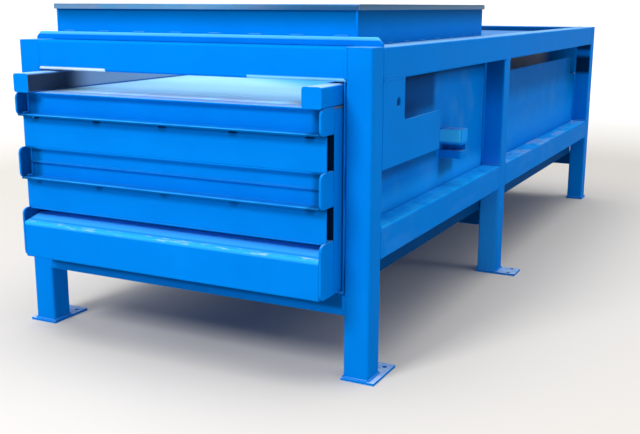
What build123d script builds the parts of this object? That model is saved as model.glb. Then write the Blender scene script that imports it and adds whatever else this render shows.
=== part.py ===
from build123d import *
import os

# Overall size of the welded frame, in millimetres
FRAME_WIDTH = 1880.0
FRAME_LENGTH = 4600.0
FRAME_HEIGHT = 1435.0

# Square and rectangular tubes of the frame
POST_SIZE = 120.0
TUBE_WALL = 6.0
TUBE_CORNER_RADIUS = 12.0
MID_POST_SETBACK = 1935.0
TOP_RAIL_HEIGHT = 140.0
BOTTOM_RAIL_HEIGHT = 140.0
BOTTOM_RAIL_LIFT = 528.0
CROSS_BEAM_HEIGHT = 100.0
CROSS_BEAM_LIFT = 292.0
THRUST_BEAM_HEIGHT = 160.0

# Foot plates under the legs
FOOT_THICKNESS = 12.0
FOOT_LIP = 8.0
FRONT_FOOT_TONGUE = 120.0
FRONT_FOOT_OUTSET = 30.0
MID_FOOT_TONGUE = 118.0
ANCHOR_HOLE_DIAMETER = 22.0
ANCHOR_SPACING = 90.0
ANCHOR_EDGE_DISTANCE = 45.0

# Chamber walls and floor
WALL_THICKNESS = 8.0
WALL_GAP_UNDER_RAIL = 95.0
WALL_CORNER_RADIUS = 20.0
HOSE_NOTCH_LENGTH = 170.0
HOSE_NOTCH_HEIGHT = 140.0
FLOOR_THICKNESS = 8.0
WEAR_STRIP_THICKNESS = 6.0
WEAR_STRIP_WIDTH = 100.0
WEAR_STRIP_INSET = 110.0

# Hopper collar over the front bay, and the cover over the rear bay
HOPPER_SETBACK = 136.0
HOPPER_REAR_GAP = 75.0
HOPPER_RISE = 171.0
HOPPER_PLATE = 6.0
RIM_HEIGHT = 25.0
RIM_OVERHANG = 12.0
RIM_EDGE_RADIUS = 3.0
SILL_HEIGHT = 38.0
SILL_THICKNESS = 20.0
SILL_END_INSET = 8.0
SILL_CHAMFER = 26.0
WIPER_CLEARANCE = 5.0
WIPER_SIDE_CLEARANCE = 10.0
DECK_RECESS = 38.0
DECK_THICKNESS = 8.0

# Folded L-shaped plates behind the front posts
SIDE_PLATE_THICKNESS = 10.0
SIDE_PLATE_DROP = 375.0
SIDE_PLATE_UPRIGHT = 240.0
SIDE_PLATE_ARM_LENGTH = 710.0
SIDE_PLATE_ARM_HEIGHT = 190.0
SIDE_PLATE_CORNER_RADIUS = 24.0
LIFT_HOLE_DIAMETER = 42.0
LIFT_HOLE_SETBACK = 170.0
LIFT_HOLE_DROP = 100.0

# Forked tie brackets on the chamber walls
CLAMP_SETBACK = 1170.0
CLAMP_LENGTH = 110.0
CLAMP_LIFT = 152.0
CLAMP_HEIGHT = 150.0
CLAMP_SLOT_LIFT = 40.0
CLAMP_SLOT_HEIGHT = 32.0
CLAMP_SLOT_DEPTH = 72.0
CLAMP_BORE_DIAMETER = 30.0
CLAMP_BORE_SETBACK = 34.0
CLAMP_CORNER_RADIUS = 16.0

# Ram box
RAM_PROUD = 190.0
RAM_LENGTH = 2280.0
RAM_PLATE = 10.0
RAM_FRONT_PLATE = 12.0
RAM_SIDE_CLEARANCE = 6.0
RAM_FLOOR_CLEARANCE = 0.3
GUIDE_TUBE_WIDTH = 90.0
GUIDE_TUBE_HEIGHT = 88.0
GUIDE_TUBE_CLEARANCE = 7.0
HOLD_DOWN_WIDTH = 40.0
HOLD_DOWN_HEIGHT = 20.0
HOLD_DOWN_CLEARANCE = 3.0

# Channels, slats and skirt across the ram's face
FACE_DEPTH = 118.0
WEB_SETBACK = 75.0
SLAT_SETBACK = 47.0
SLAT_THICKNESS = 8.0
CHANNEL_WALL = 8.0
UPPER_CHANNEL_HEIGHT = 110.0
MIDDLE_CHANNEL_HEIGHT = 150.0
UPPER_SLAT_SHARE = 0.51
LOWER_RECESS_HEIGHT = 64.0
SKIRT_HEIGHT = 174.0
SKIRT_SLOPE_RISE = 30.0
SKIRT_WALL = 10.0
SKIRT_EDGE_RADIUS = 8.0
MIDDLE_RIB_HEIGHT = 14.0
MIDDLE_RIB_DEPTH = 18.0
LUG_THICKNESS = 12.0
LUG_CORNER_RADIUS = 30.0
WEEP_COUNT = 5
WEEP_PITCH = 365.0
WEEP_WIDTH = 44.0
WEEP_DEPTH = 14.0

# Hydraulic cylinder that drives the ram
CYLINDER_DROP = 3.0
CYLINDER_BORE = 140.0
BARREL_WALL = 14.0
BARREL_END_THICKNESS = 32.0
PORT_DIAMETER = 44.0
PORT_HEIGHT = 30.0
PORT_END_DISTANCE = 70.0
ROD_DIAMETER = 90.0
PISTON_LENGTH = 60.0
GLAND_FLANGE_LENGTH = 30.0
GLAND_SPIGOT_LENGTH = 40.0
RUNNING_CLEARANCE = 0.3
END_GAP = 10.0
EYE_DIAMETER = 130.0
EYE_WIDTH = 70.0
EYE_NECK = 12.0
PIN_DIAMETER = 60.0
PIN_CLEARANCE = 0.2
PIN_OVERHANG = 4.0
CLEVIS_END_GAP = 12.0
CLEVIS_EAR = 25.0
CLEVIS_PLATE = 20.0
CLEVIS_SIDE_GAP = 1.0
CLEVIS_MARGIN = 25.0
EAR_CORNER_CUT = 40.0
STROKE_BACK = 1905.0
STROKE_FORWARD = 150.0

# Planes that several pieces share
OVERRUN = FOOT_THICKNESS
FRONT = -(FRAME_LENGTH + FOOT_LIP - RAM_PROUD) / 2
REAR = FRONT + FRAME_LENGTH
POST_OUTER = FRAME_WIDTH / 2
POST_INNER = POST_OUTER - POST_SIZE
WALL_INNER = POST_INNER - WALL_THICKNESS
FRONT_BACK = FRONT + POST_SIZE
MID_FRONT = FRONT + MID_POST_SETBACK
MID_BACK = MID_FRONT + POST_SIZE
REAR_FRONT = REAR - POST_SIZE
APRON_FRONT = REAR_FRONT - DECK_THICKNESS
RAIL_BOTTOM = FRAME_HEIGHT - TOP_RAIL_HEIGHT
REAR_WALL_TOP = RAIL_BOTTOM - WALL_GAP_UNDER_RAIL
NOTCH_BOTTOM = REAR_WALL_TOP - HOSE_NOTCH_HEIGHT
BOTTOM_RAIL_TOP = BOTTOM_RAIL_LIFT + BOTTOM_RAIL_HEIGHT
FLOOR_BOTTOM = CROSS_BEAM_LIFT + CROSS_BEAM_HEIGHT
FLOOR_TOP = FLOOR_BOTTOM + FLOOR_THICKNESS

RAM_HALF = WALL_INNER - RAM_SIDE_CLEARANCE
RAM_BOTTOM = FLOOR_TOP + WEAR_STRIP_THICKNESS + RAM_FLOOR_CLEARANCE
GUIDE_TOP = RAIL_BOTTOM - GUIDE_TUBE_CLEARANCE
RAM_TOP = GUIDE_TOP - GUIDE_TUBE_HEIGHT
GUIDE_INNER = RAM_HALF - GUIDE_TUBE_WIDTH
TIP = FRONT - RAM_PROUD
SLAT_FRONT = TIP + SLAT_SETBACK
FACE_BACK = TIP + FACE_DEPTH
RAM_INSIDE = FACE_BACK + RAM_FRONT_PLATE
RAM_REAR = TIP + RAM_LENGTH
SKIRT_TOP = RAM_BOTTOM + SKIRT_HEIGHT
RECESS_TOP = SKIRT_TOP + LOWER_RECESS_HEIGHT
BOTH_SLATS_HEIGHT = RAM_TOP - UPPER_CHANNEL_HEIGHT - MIDDLE_CHANNEL_HEIGHT - RECESS_TOP
UPPER_SLAT_HEIGHT = UPPER_SLAT_SHARE * BOTH_SLATS_HEIGHT
LOWER_SLAT_HEIGHT = BOTH_SLATS_HEIGHT - UPPER_SLAT_HEIGHT
UPPER_SLAT_TOP = RAM_TOP - UPPER_CHANNEL_HEIGHT
MIDDLE_CHANNEL_TOP = UPPER_SLAT_TOP - UPPER_SLAT_HEIGHT
LOWER_SLAT_TOP = MIDDLE_CHANNEL_TOP - MIDDLE_CHANNEL_HEIGHT

HOLD_DOWN_BOTTOM = GUIDE_TOP + HOLD_DOWN_CLEARANCE
HOLD_DOWN_TOP = HOLD_DOWN_BOTTOM + HOLD_DOWN_HEIGHT
HOPPER_FRONT = FRONT + HOPPER_SETBACK
HOPPER_BACK = MID_FRONT - HOPPER_REAR_GAP
HOPPER_INNER = WALL_INNER - HOPPER_PLATE
RIM_BOTTOM = FRAME_HEIGHT + HOPPER_RISE - RIM_HEIGHT

CYLINDER_AXIS_HEIGHT = (RAM_BOTTOM + RAM_TOP) / 2 - CYLINDER_DROP
CLEVIS_REACH = EYE_DIAMETER / 2 + CLEVIS_PLATE + CLEVIS_END_GAP
REAR_PIN_Y = REAR_FRONT - CLEVIS_REACH
ROD_PIN_Y = RAM_INSIDE + CLEVIS_REACH
BARREL_REAR = REAR_PIN_Y - EYE_DIAMETER / 2 - EYE_NECK
GLAND_FRONT = ROD_PIN_Y + STROKE_BACK + EYE_DIAMETER / 2 + EYE_NECK
BARREL_FRONT = GLAND_FRONT + GLAND_FLANGE_LENGTH
GLAND_REAR = BARREL_FRONT + GLAND_SPIGOT_LENGTH
PISTON_FRONT = GLAND_REAR + END_GAP + STROKE_FORWARD
BARREL_DIAMETER = CYLINDER_BORE + 2 * BARREL_WALL


def side_plane(x):
    """Sketch plane across X: drawn in Y and Z, extruded towards +X."""
    return Plane(origin=(x, 0, 0), x_dir=(0, 1, 0), z_dir=(1, 0, 0))


def cross_plane(y):
    """Sketch plane across Y: drawn in X and Z, extruded towards -Y."""
    return Plane(origin=(0, y, 0), x_dir=(1, 0, 0), z_dir=(0, -1, 0))


def block(x_span, y_span, z_span):
    """Plain bar or plate between three pairs of coordinates."""
    section = Rectangle(x_span[1] - x_span[0], y_span[1] - y_span[0])
    outline = Pos(sum(x_span) / 2, sum(y_span) / 2) * section
    return extrude(Plane.XY.offset(z_span[0]) * outline, z_span[1] - z_span[0])


def tube_outline(u_span, v_span):
    """Section of a rounded rectangular tube, drawn between two pairs of coordinates."""
    width = u_span[1] - u_span[0]
    height = v_span[1] - v_span[0]
    outer = RectangleRounded(width, height, TUBE_CORNER_RADIUS)
    inner = Rectangle(width - 2 * TUBE_WALL, height - 2 * TUBE_WALL)
    return Pos(sum(u_span) / 2, sum(v_span) / 2) * (outer - inner)


def tube_up(x_span, y_span, z_span):
    """Tube that stands along Z, with a welded cap at its top."""
    cap_bottom = z_span[1] - TUBE_WALL
    cap_outline = RectangleRounded(x_span[1] - x_span[0], y_span[1] - y_span[0], TUBE_CORNER_RADIUS)
    cap = extrude(Pos(sum(x_span) / 2, sum(y_span) / 2, cap_bottom) * cap_outline, TUBE_WALL)
    return cap + extrude(Plane.XY.offset(z_span[0]) * tube_outline(x_span, y_span), cap_bottom - z_span[0])


def tube_across(x_span, y_span, z_span):
    """Tube that lies along X."""
    return extrude(side_plane(x_span[0]) * tube_outline(y_span, z_span), x_span[1] - x_span[0])


def tube_along(x_span, y_span, z_span):
    """Tube that lies along Y."""
    return extrude(cross_plane(y_span[1]) * tube_outline(x_span, z_span), y_span[1] - y_span[0])


def outline_face(points):
    """Flat face inside a closed straight-sided outline."""
    return make_face(Polyline(*points, close=True))


def both_sides(name, right_piece):
    """The right-hand piece and its mirror image, named for their sides."""
    return {name + "_right": right_piece, name + "_left": mirror(right_piece, about=Plane.YZ)}


def foot_plate(x_span, y_span, holes):
    """Foot plate with a list of anchor hole centres."""
    plate = Pos(sum(x_span) / 2, sum(y_span) / 2) * Rectangle(x_span[1] - x_span[0], y_span[1] - y_span[0])
    for x, y in holes:
        plate -= Pos(x, y) * Circle(ANCHOR_HOLE_DIAMETER / 2)
    return extrude(plate, FOOT_THICKNESS)


def feet():
    """Pairs of foot plates: a tongue to the rear in front, outwards at the middle, plain pads behind."""
    inside = POST_INNER - FOOT_LIP
    front_end = FRONT_BACK + FRONT_FOOT_TONGUE
    front_middle = (inside + POST_OUTER + FRONT_FOOT_OUTSET) / 2
    front_holes = [
        (front_middle + side * ANCHOR_SPACING / 2, front_end - ANCHOR_EDGE_DISTANCE) for side in (-1, 1)
    ]
    front = foot_plate((inside, POST_OUTER + FRONT_FOOT_OUTSET), (FRONT - FOOT_LIP, front_end), front_holes)
    mid_end = POST_OUTER + MID_FOOT_TONGUE
    mid_middle = (MID_FRONT + MID_BACK) / 2
    mid_holes = [
        (mid_end - ANCHOR_EDGE_DISTANCE, mid_middle + side * ANCHOR_SPACING / 2) for side in (-1, 1)
    ]
    mid = foot_plate((inside, mid_end), (MID_FRONT - FOOT_LIP, MID_BACK + FOOT_LIP), mid_holes)
    rear = foot_plate((inside, POST_OUTER + FOOT_LIP), (REAR_FRONT - FOOT_LIP, REAR + FOOT_LIP), [])
    plates = {"front_foot_plates": front, "mid_foot_plates": mid, "rear_foot_plates": rear}
    return {name: Compound([plate, mirror(plate, about=Plane.YZ)]) for name, plate in plates.items()}


def frame_tubes():
    """Six legs, the side rails between them and the beams across them."""
    outer = (POST_INNER, POST_OUTER)
    inner = (-POST_INNER, POST_INNER)
    front = (FRONT, FRONT_BACK)
    mid = (MID_FRONT, MID_BACK)
    rear = (REAR_FRONT, REAR)
    top = (RAIL_BOTTOM, FRAME_HEIGHT)
    low = (BOTTOM_RAIL_LIFT, BOTTOM_RAIL_TOP)
    cross = (CROSS_BEAM_LIFT, FLOOR_BOTTOM)
    thrust = (CYLINDER_AXIS_HEIGHT - THRUST_BEAM_HEIGHT / 2, CYLINDER_AXIS_HEIGHT + THRUST_BEAM_HEIGHT / 2)
    pieces = both_sides("front_post", tube_up(outer, front, (FOOT_THICKNESS, FRAME_HEIGHT)))
    pieces |= both_sides("mid_post", tube_up(outer, mid, (FOOT_THICKNESS, RAIL_BOTTOM)))
    pieces |= both_sides("rear_post", tube_up(outer, rear, (FOOT_THICKNESS, FRAME_HEIGHT)))
    pieces |= both_sides("top_rail", tube_along(outer, (FRONT_BACK, REAR_FRONT), top))
    pieces |= both_sides("front_bottom_rail", tube_along(outer, (FRONT_BACK, MID_FRONT), low))
    pieces |= both_sides("rear_bottom_rail", tube_along(outer, (MID_BACK, REAR_FRONT), low))
    pieces["front_lintel"] = tube_across(inner, front, top)
    pieces["mid_top_beam"] = tube_across(inner, mid, (HOLD_DOWN_TOP, FRAME_HEIGHT))
    pieces["rear_top_beam"] = tube_across(inner, rear, top)
    pieces["rear_thrust_beam"] = tube_across(inner, rear, thrust)
    for name, span in (("front", front), ("mid", mid), ("rear", rear)):
        pieces[name + "_cross_beam"] = tube_across(inner, span, cross)
    return pieces


def chamber():
    """Walls, floor, wear strips and hold-down bars that guide the ram."""
    notch_front = REAR_FRONT - HOSE_NOTCH_LENGTH
    outline = outline_face([
        (FRONT, FLOOR_BOTTOM),
        (REAR_FRONT, FLOOR_BOTTOM),
        (REAR_FRONT, NOTCH_BOTTOM),
        (notch_front, NOTCH_BOTTOM),
        (notch_front, REAR_WALL_TOP),
        (MID_FRONT, REAR_WALL_TOP),
        (MID_FRONT, FRAME_HEIGHT),
        (FRONT_BACK, FRAME_HEIGHT),
        (FRONT_BACK, RAIL_BOTTOM),
        (FRONT, RAIL_BOTTOM),
    ])
    inner_corner = outline.vertices().sort_by_distance((notch_front, NOTCH_BOTTOM, 0))[0]
    outline = fillet(inner_corner, WALL_CORNER_RADIUS)
    wall = extrude(side_plane(WALL_INNER) * outline, WALL_THICKNESS)
    length = (FRONT, REAR_FRONT)
    strip_outer = WALL_INNER - WEAR_STRIP_INSET
    strip = block(
        (strip_outer - WEAR_STRIP_WIDTH, strip_outer),
        length,
        (FLOOR_TOP, FLOOR_TOP + WEAR_STRIP_THICKNESS),
    )
    hold_down = block(
        (WALL_INNER - HOLD_DOWN_WIDTH, WALL_INNER),
        (FRONT_BACK, APRON_FRONT),
        (HOLD_DOWN_BOTTOM, HOLD_DOWN_TOP),
    )
    pieces = both_sides("chamber_wall", wall)
    pieces["chamber_floor"] = block((-WALL_INNER, WALL_INNER), length, (FLOOR_BOTTOM, FLOOR_TOP))
    pieces["floor_wear_strips"] = Compound([strip, mirror(strip, about=Plane.YZ)])
    pieces |= both_sides("hold_down_bar", hold_down)
    return pieces


def hopper():
    """Four-sided collar with its bare rim, the sill in front of it, and the rear deck with its apron."""
    rise = (HOLD_DOWN_TOP, RIM_BOTTOM)
    inside = (-HOPPER_INNER, HOPPER_INNER)
    side = block((HOPPER_INNER, WALL_INNER), (HOPPER_FRONT, HOPPER_BACK), rise)
    wiper = GUIDE_INNER - WIPER_SIDE_CLEARANCE
    wiper_bottom = RAM_TOP + WIPER_CLEARANCE
    rear_outline = outline_face([
        (-HOPPER_INNER, RIM_BOTTOM),
        (-HOPPER_INNER, HOLD_DOWN_TOP),
        (-wiper, HOLD_DOWN_TOP),
        (-wiper, wiper_bottom),
        (wiper, wiper_bottom),
        (wiper, HOLD_DOWN_TOP),
        (HOPPER_INNER, HOLD_DOWN_TOP),
        (HOPPER_INNER, RIM_BOTTOM),
    ])
    rim_width = 2 * (WALL_INNER + RIM_OVERHANG)
    rim_length = HOPPER_BACK - HOPPER_FRONT + 2 * RIM_OVERHANG
    rim_bar = HOPPER_PLATE + RIM_OVERHANG
    rim = RectangleRounded(rim_width, rim_length, RIM_OVERHANG)
    rim -= Rectangle(rim_width - 2 * rim_bar, rim_length - 2 * rim_bar)
    rim = extrude(Pos(0, (HOPPER_FRONT + HOPPER_BACK) / 2, RIM_BOTTOM) * rim, RIM_HEIGHT)
    rim = chamfer(rim.faces().sort_by(Axis.Z)[-1].outer_wire().edges(), RIM_EDGE_RADIUS)
    sill_half = POST_OUTER - SILL_END_INSET
    sill_top = FRAME_HEIGHT + SILL_HEIGHT
    sill_outline = outline_face([
        (-sill_half, FRAME_HEIGHT),
        (sill_half, FRAME_HEIGHT),
        (sill_half, sill_top - SILL_CHAMFER),
        (sill_half - SILL_CHAMFER, sill_top),
        (SILL_CHAMFER - sill_half, sill_top),
        (-sill_half, sill_top - SILL_CHAMFER),
    ])
    deck_top = FRAME_HEIGHT - DECK_RECESS
    deck_bottom = deck_top - DECK_THICKNESS
    deck = block((-POST_INNER, POST_INNER), (MID_BACK, REAR_FRONT), (deck_bottom, deck_top))
    apron_bottom = CYLINDER_AXIS_HEIGHT + THRUST_BEAM_HEIGHT / 2
    apron_outline = outline_face([
        (-WALL_INNER, apron_bottom),
        (WALL_INNER, apron_bottom),
        (WALL_INNER, NOTCH_BOTTOM),
        (POST_INNER, NOTCH_BOTTOM),
        (POST_INNER, deck_bottom),
        (-POST_INNER, deck_bottom),
        (-POST_INNER, NOTCH_BOTTOM),
        (-WALL_INNER, NOTCH_BOTTOM),
    ])
    apron = extrude(cross_plane(REAR_FRONT) * apron_outline, DECK_THICKNESS)
    pieces = both_sides("hopper_wall", side)
    pieces["hopper_front_wall"] = block(inside, (HOPPER_FRONT, HOPPER_FRONT + HOPPER_PLATE), rise)
    pieces["hopper_rear_wall"] = extrude(cross_plane(HOPPER_BACK) * rear_outline, HOPPER_PLATE)
    pieces["hopper_rim"] = rim
    pieces["hopper_sill"] = extrude(cross_plane(HOPPER_FRONT) * sill_outline, SILL_THICKNESS)
    pieces["rear_deck_cover"] = Compound([deck, apron])
    return pieces


def side_plates():
    """L-shaped plate behind each front post, its lower edge folded in to the chamber wall."""
    bottom = RAIL_BOTTOM - SIDE_PLATE_DROP
    arm_top = bottom + SIDE_PLATE_ARM_HEIGHT
    upright_back = FRONT_BACK + SIDE_PLATE_UPRIGHT
    arm_back = FRONT_BACK + SIDE_PLATE_ARM_LENGTH
    outline = outline_face([
        (FRONT_BACK, bottom),
        (arm_back, bottom),
        (arm_back, arm_top),
        (upright_back, arm_top),
        (upright_back, RAIL_BOTTOM),
        (FRONT_BACK, RAIL_BOTTOM),
    ])
    corners = outline.vertices()
    inner_corner = corners.sort_by_distance((upright_back, arm_top, 0))[0]
    free_corner = corners.sort_by_distance((arm_back, arm_top, 0))[0]
    outline = fillet([inner_corner, free_corner], SIDE_PLATE_CORNER_RADIUS)
    hole_place = Pos(FRONT_BACK + LIFT_HOLE_SETBACK, RAIL_BOTTOM - LIFT_HOLE_DROP)
    outline -= hole_place * Circle(LIFT_HOLE_DIAMETER / 2)
    plate = extrude(side_plane(POST_OUTER - SIDE_PLATE_THICKNESS) * outline, SIDE_PLATE_THICKNESS)
    fold = block(
        (POST_INNER, POST_OUTER - SIDE_PLATE_THICKNESS),
        (FRONT_BACK, arm_back),
        (bottom, bottom + SIDE_PLATE_THICKNESS),
    )
    return both_sides("side_plate", plate + fold)


def tie_brackets():
    """Fork on each chamber wall: a slot between two prongs and an upright bore through both."""
    base = BOTTOM_RAIL_TOP + CLAMP_LIFT
    front = FRONT + CLAMP_SETBACK
    bracket = block((POST_INNER, POST_OUTER), (front, front + CLAMP_LENGTH), (base, base + CLAMP_HEIGHT))
    outer_edges = bracket.edges().filter_by(Axis.Z).group_by(Axis.X)[-1]
    bracket = fillet(outer_edges, CLAMP_CORNER_RADIUS)
    slot_bottom = base + CLAMP_SLOT_LIFT
    bracket -= block(
        (POST_INNER - OVERRUN, POST_OUTER + OVERRUN),
        (front - OVERRUN, front + CLAMP_SLOT_DEPTH),
        (slot_bottom, slot_bottom + CLAMP_SLOT_HEIGHT),
    )
    bore_place = Pos((POST_INNER + POST_OUTER) / 2, front + CLAMP_BORE_SETBACK, base - OVERRUN)
    bracket -= extrude(bore_place * Circle(CLAMP_BORE_DIAMETER / 2), CLAMP_HEIGHT + 2 * OVERRUN)
    return both_sides("tie_bracket", bracket)


def ram_box():
    """Hollow box behind the ram's face, open at the rear, with its two guide tubes on top."""
    whole = (-RAM_HALF, RAM_HALF)
    inside = (RAM_INSIDE, RAM_REAR)
    plate_under = RAM_BOTTOM + RAM_PLATE
    plate_over = RAM_TOP - RAM_PLATE
    side = block((RAM_HALF - RAM_PLATE, RAM_HALF), inside, (plate_under, plate_over))
    guide_section = (GUIDE_INNER, RAM_HALF)
    guide = tube_along(guide_section, (TIP + TUBE_WALL, RAM_REAR), (RAM_TOP, GUIDE_TOP))
    cap_outline = RectangleRounded(GUIDE_TUBE_WIDTH, GUIDE_TUBE_HEIGHT, TUBE_CORNER_RADIUS)
    cap_place = Pos(sum(guide_section) / 2, (RAM_TOP + GUIDE_TOP) / 2)
    guide += extrude(cross_plane(TIP + TUBE_WALL) * (cap_place * cap_outline), TUBE_WALL)
    pieces = {
        "ram_front_plate": block(whole, (FACE_BACK, RAM_INSIDE), (RAM_BOTTOM, plate_over)),
        "ram_top_plate": block(whole, (FACE_BACK, RAM_REAR), (plate_over, RAM_TOP)),
        "ram_bottom_plate": block(whole, inside, (RAM_BOTTOM, plate_under)),
    }
    pieces |= both_sides("ram_side_plate", side)
    pieces |= both_sides("ram_guide_tube", guide)
    return pieces


def face_channel(bottom, top, ridge):
    """Channel across the face: a short upper flange, a long lower one to the tips, and a web between."""
    web_front = TIP + WEB_SETBACK
    web_back = web_front + CHANNEL_WALL
    middle = (bottom + top) / 2
    points = [
        (FACE_BACK, bottom),
        (FACE_BACK, bottom + CHANNEL_WALL),
        (web_back, bottom + CHANNEL_WALL),
        (web_back, top - CHANNEL_WALL),
        (FACE_BACK, top - CHANNEL_WALL),
        (FACE_BACK, top),
        (SLAT_FRONT, top),
        (SLAT_FRONT, top - CHANNEL_WALL),
        (web_front, top - CHANNEL_WALL),
    ]
    if ridge:
        points += [
            (web_front, middle + MIDDLE_RIB_HEIGHT / 2),
            (web_front - MIDDLE_RIB_DEPTH, middle),
            (web_front, middle - MIDDLE_RIB_HEIGHT / 2),
        ]
    points += [(web_front, bottom + CHANNEL_WALL), (TIP, bottom + CHANNEL_WALL), (TIP, bottom)]
    inner = RAM_HALF - LUG_THICKNESS
    return extrude(side_plane(-inner) * outline_face(points), 2 * inner)


def face_slat(top, height):
    """Flat slat in front of the ram plate, with weep notches along its upper edge."""
    slat = block((-RAM_HALF, RAM_HALF), (SLAT_FRONT, SLAT_FRONT + SLAT_THICKNESS), (top - height, top))
    notch = block(
        (-WEEP_WIDTH / 2, WEEP_WIDTH / 2),
        (SLAT_FRONT - OVERRUN, SLAT_FRONT + SLAT_THICKNESS + OVERRUN),
        (top - WEEP_DEPTH, top + OVERRUN),
    )
    for index in range(WEEP_COUNT):
        slat -= Pos((index - (WEEP_COUNT - 1) / 2) * WEEP_PITCH, 0, 0) * notch
    return slat


def end_lug(bottom, top):
    """Plate that closes the right-hand end of a channel, with its two front corners rounded."""
    outline = outline_face([(FACE_BACK, bottom), (TIP, bottom), (TIP, top), (FACE_BACK, top)])
    front_corners = outline.vertices().group_by(Axis.X)[0]
    outline = fillet(front_corners, LUG_CORNER_RADIUS)
    return extrude(side_plane(RAM_HALF - LUG_THICKNESS) * outline, LUG_THICKNESS)


def ram_face():
    """Channels, slats, end lugs and the sloped skirt box across the ram's front."""
    inner = RAM_HALF - LUG_THICKNESS
    skirt_back_top = SKIRT_TOP + SKIRT_SLOPE_RISE
    skirt = outline_face([
        (FACE_BACK, RAM_BOTTOM),
        (TIP, RAM_BOTTOM),
        (TIP, SKIRT_TOP),
        (FACE_BACK, skirt_back_top),
    ])
    hollow = offset(skirt, -SKIRT_WALL)
    skirt = fillet(skirt.vertices().group_by(Axis.X)[0], SKIRT_EDGE_RADIUS)
    lug_spans = (
        (UPPER_SLAT_TOP, RAM_TOP),
        (LOWER_SLAT_TOP, MIDDLE_CHANNEL_TOP),
        (RAM_BOTTOM, RECESS_TOP),
    )
    lugs = [end_lug(bottom, top) for bottom, top in lug_spans]
    lugs += [mirror(lug, about=Plane.YZ) for lug in lugs]
    return {
        "ram_upper_channel": face_channel(UPPER_SLAT_TOP, RAM_TOP, ridge=False),
        "ram_middle_channel": face_channel(LOWER_SLAT_TOP, MIDDLE_CHANNEL_TOP, ridge=True),
        "ram_upper_slat": face_slat(UPPER_SLAT_TOP, UPPER_SLAT_HEIGHT),
        "ram_lower_slat": face_slat(LOWER_SLAT_TOP, LOWER_SLAT_HEIGHT),
        "ram_lower_flange": block(
            (-inner, inner), (SLAT_FRONT, FACE_BACK), (RECESS_TOP - CHANNEL_WALL, RECESS_TOP)
        ),
        "ram_skirt": extrude(side_plane(-inner) * (skirt - hollow), 2 * inner),
        "ram_end_lugs": Compound(lugs),
    }


def turned(points):
    """Piece turned about the cylinder's axis from an outline of radius and place along Y."""
    profile = make_face(Plane.XY * Polyline(*points, close=True))
    return Pos(0, 0, CYLINDER_AXIS_HEIGHT) * revolve(profile, Axis.Y)


def pin_eye(pin_y, neck_end):
    """Round eye about a cross pin, with a neck that reaches the turned piece it is welded to."""
    place = Pos(pin_y, CYLINDER_AXIS_HEIGHT)
    neck_span = (min(pin_y, neck_end), max(pin_y, neck_end))
    neck_place = Pos(sum(neck_span) / 2, CYLINDER_AXIS_HEIGHT)
    neck = neck_place * Rectangle(neck_span[1] - neck_span[0], ROD_DIAMETER)
    section = place * Circle(EYE_DIAMETER / 2) + neck
    section -= place * Circle(PIN_DIAMETER / 2 + PIN_CLEARANCE)
    return extrude(side_plane(-EYE_WIDTH / 2) * section, EYE_WIDTH)


def clevis(pin_y, seat_y):
    """Seat plate with two ears for a cross pin, their free corners cut off."""
    away = 1 if pin_y > seat_y else -1
    half_height = EYE_DIAMETER / 2
    ear_end = pin_y + away * half_height
    ear = outline_face([
        (seat_y, CYLINDER_AXIS_HEIGHT - half_height),
        (ear_end - away * EAR_CORNER_CUT, CYLINDER_AXIS_HEIGHT - half_height),
        (ear_end, CYLINDER_AXIS_HEIGHT - half_height + EAR_CORNER_CUT),
        (ear_end, CYLINDER_AXIS_HEIGHT + half_height - EAR_CORNER_CUT),
        (ear_end - away * EAR_CORNER_CUT, CYLINDER_AXIS_HEIGHT + half_height),
        (seat_y, CYLINDER_AXIS_HEIGHT + half_height),
    ])
    ear -= Pos(pin_y, CYLINDER_AXIS_HEIGHT) * Circle(PIN_DIAMETER / 2 + PIN_CLEARANCE)
    ear_inner = EYE_WIDTH / 2 + CLEVIS_SIDE_GAP
    right = extrude(side_plane(ear_inner) * ear, CLEVIS_EAR)
    plate_half = ear_inner + CLEVIS_EAR + CLEVIS_MARGIN
    plate_span = sorted((seat_y, seat_y + away * CLEVIS_PLATE))
    plate_reach = half_height + CLEVIS_MARGIN / 2
    plate = block(
        (-plate_half, plate_half),
        plate_span,
        (CYLINDER_AXIS_HEIGHT - plate_reach, CYLINDER_AXIS_HEIGHT + plate_reach),
    )
    return plate + right + mirror(right, about=Plane.YZ)


def cross_pin(pin_y):
    """Plain pin through a clevis and an eye."""
    half = EYE_WIDTH / 2 + CLEVIS_SIDE_GAP + CLEVIS_EAR + PIN_OVERHANG
    section = Pos(pin_y, CYLINDER_AXIS_HEIGHT) * Circle(PIN_DIAMETER / 2)
    return extrude(side_plane(-half) * section, 2 * half)


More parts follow.
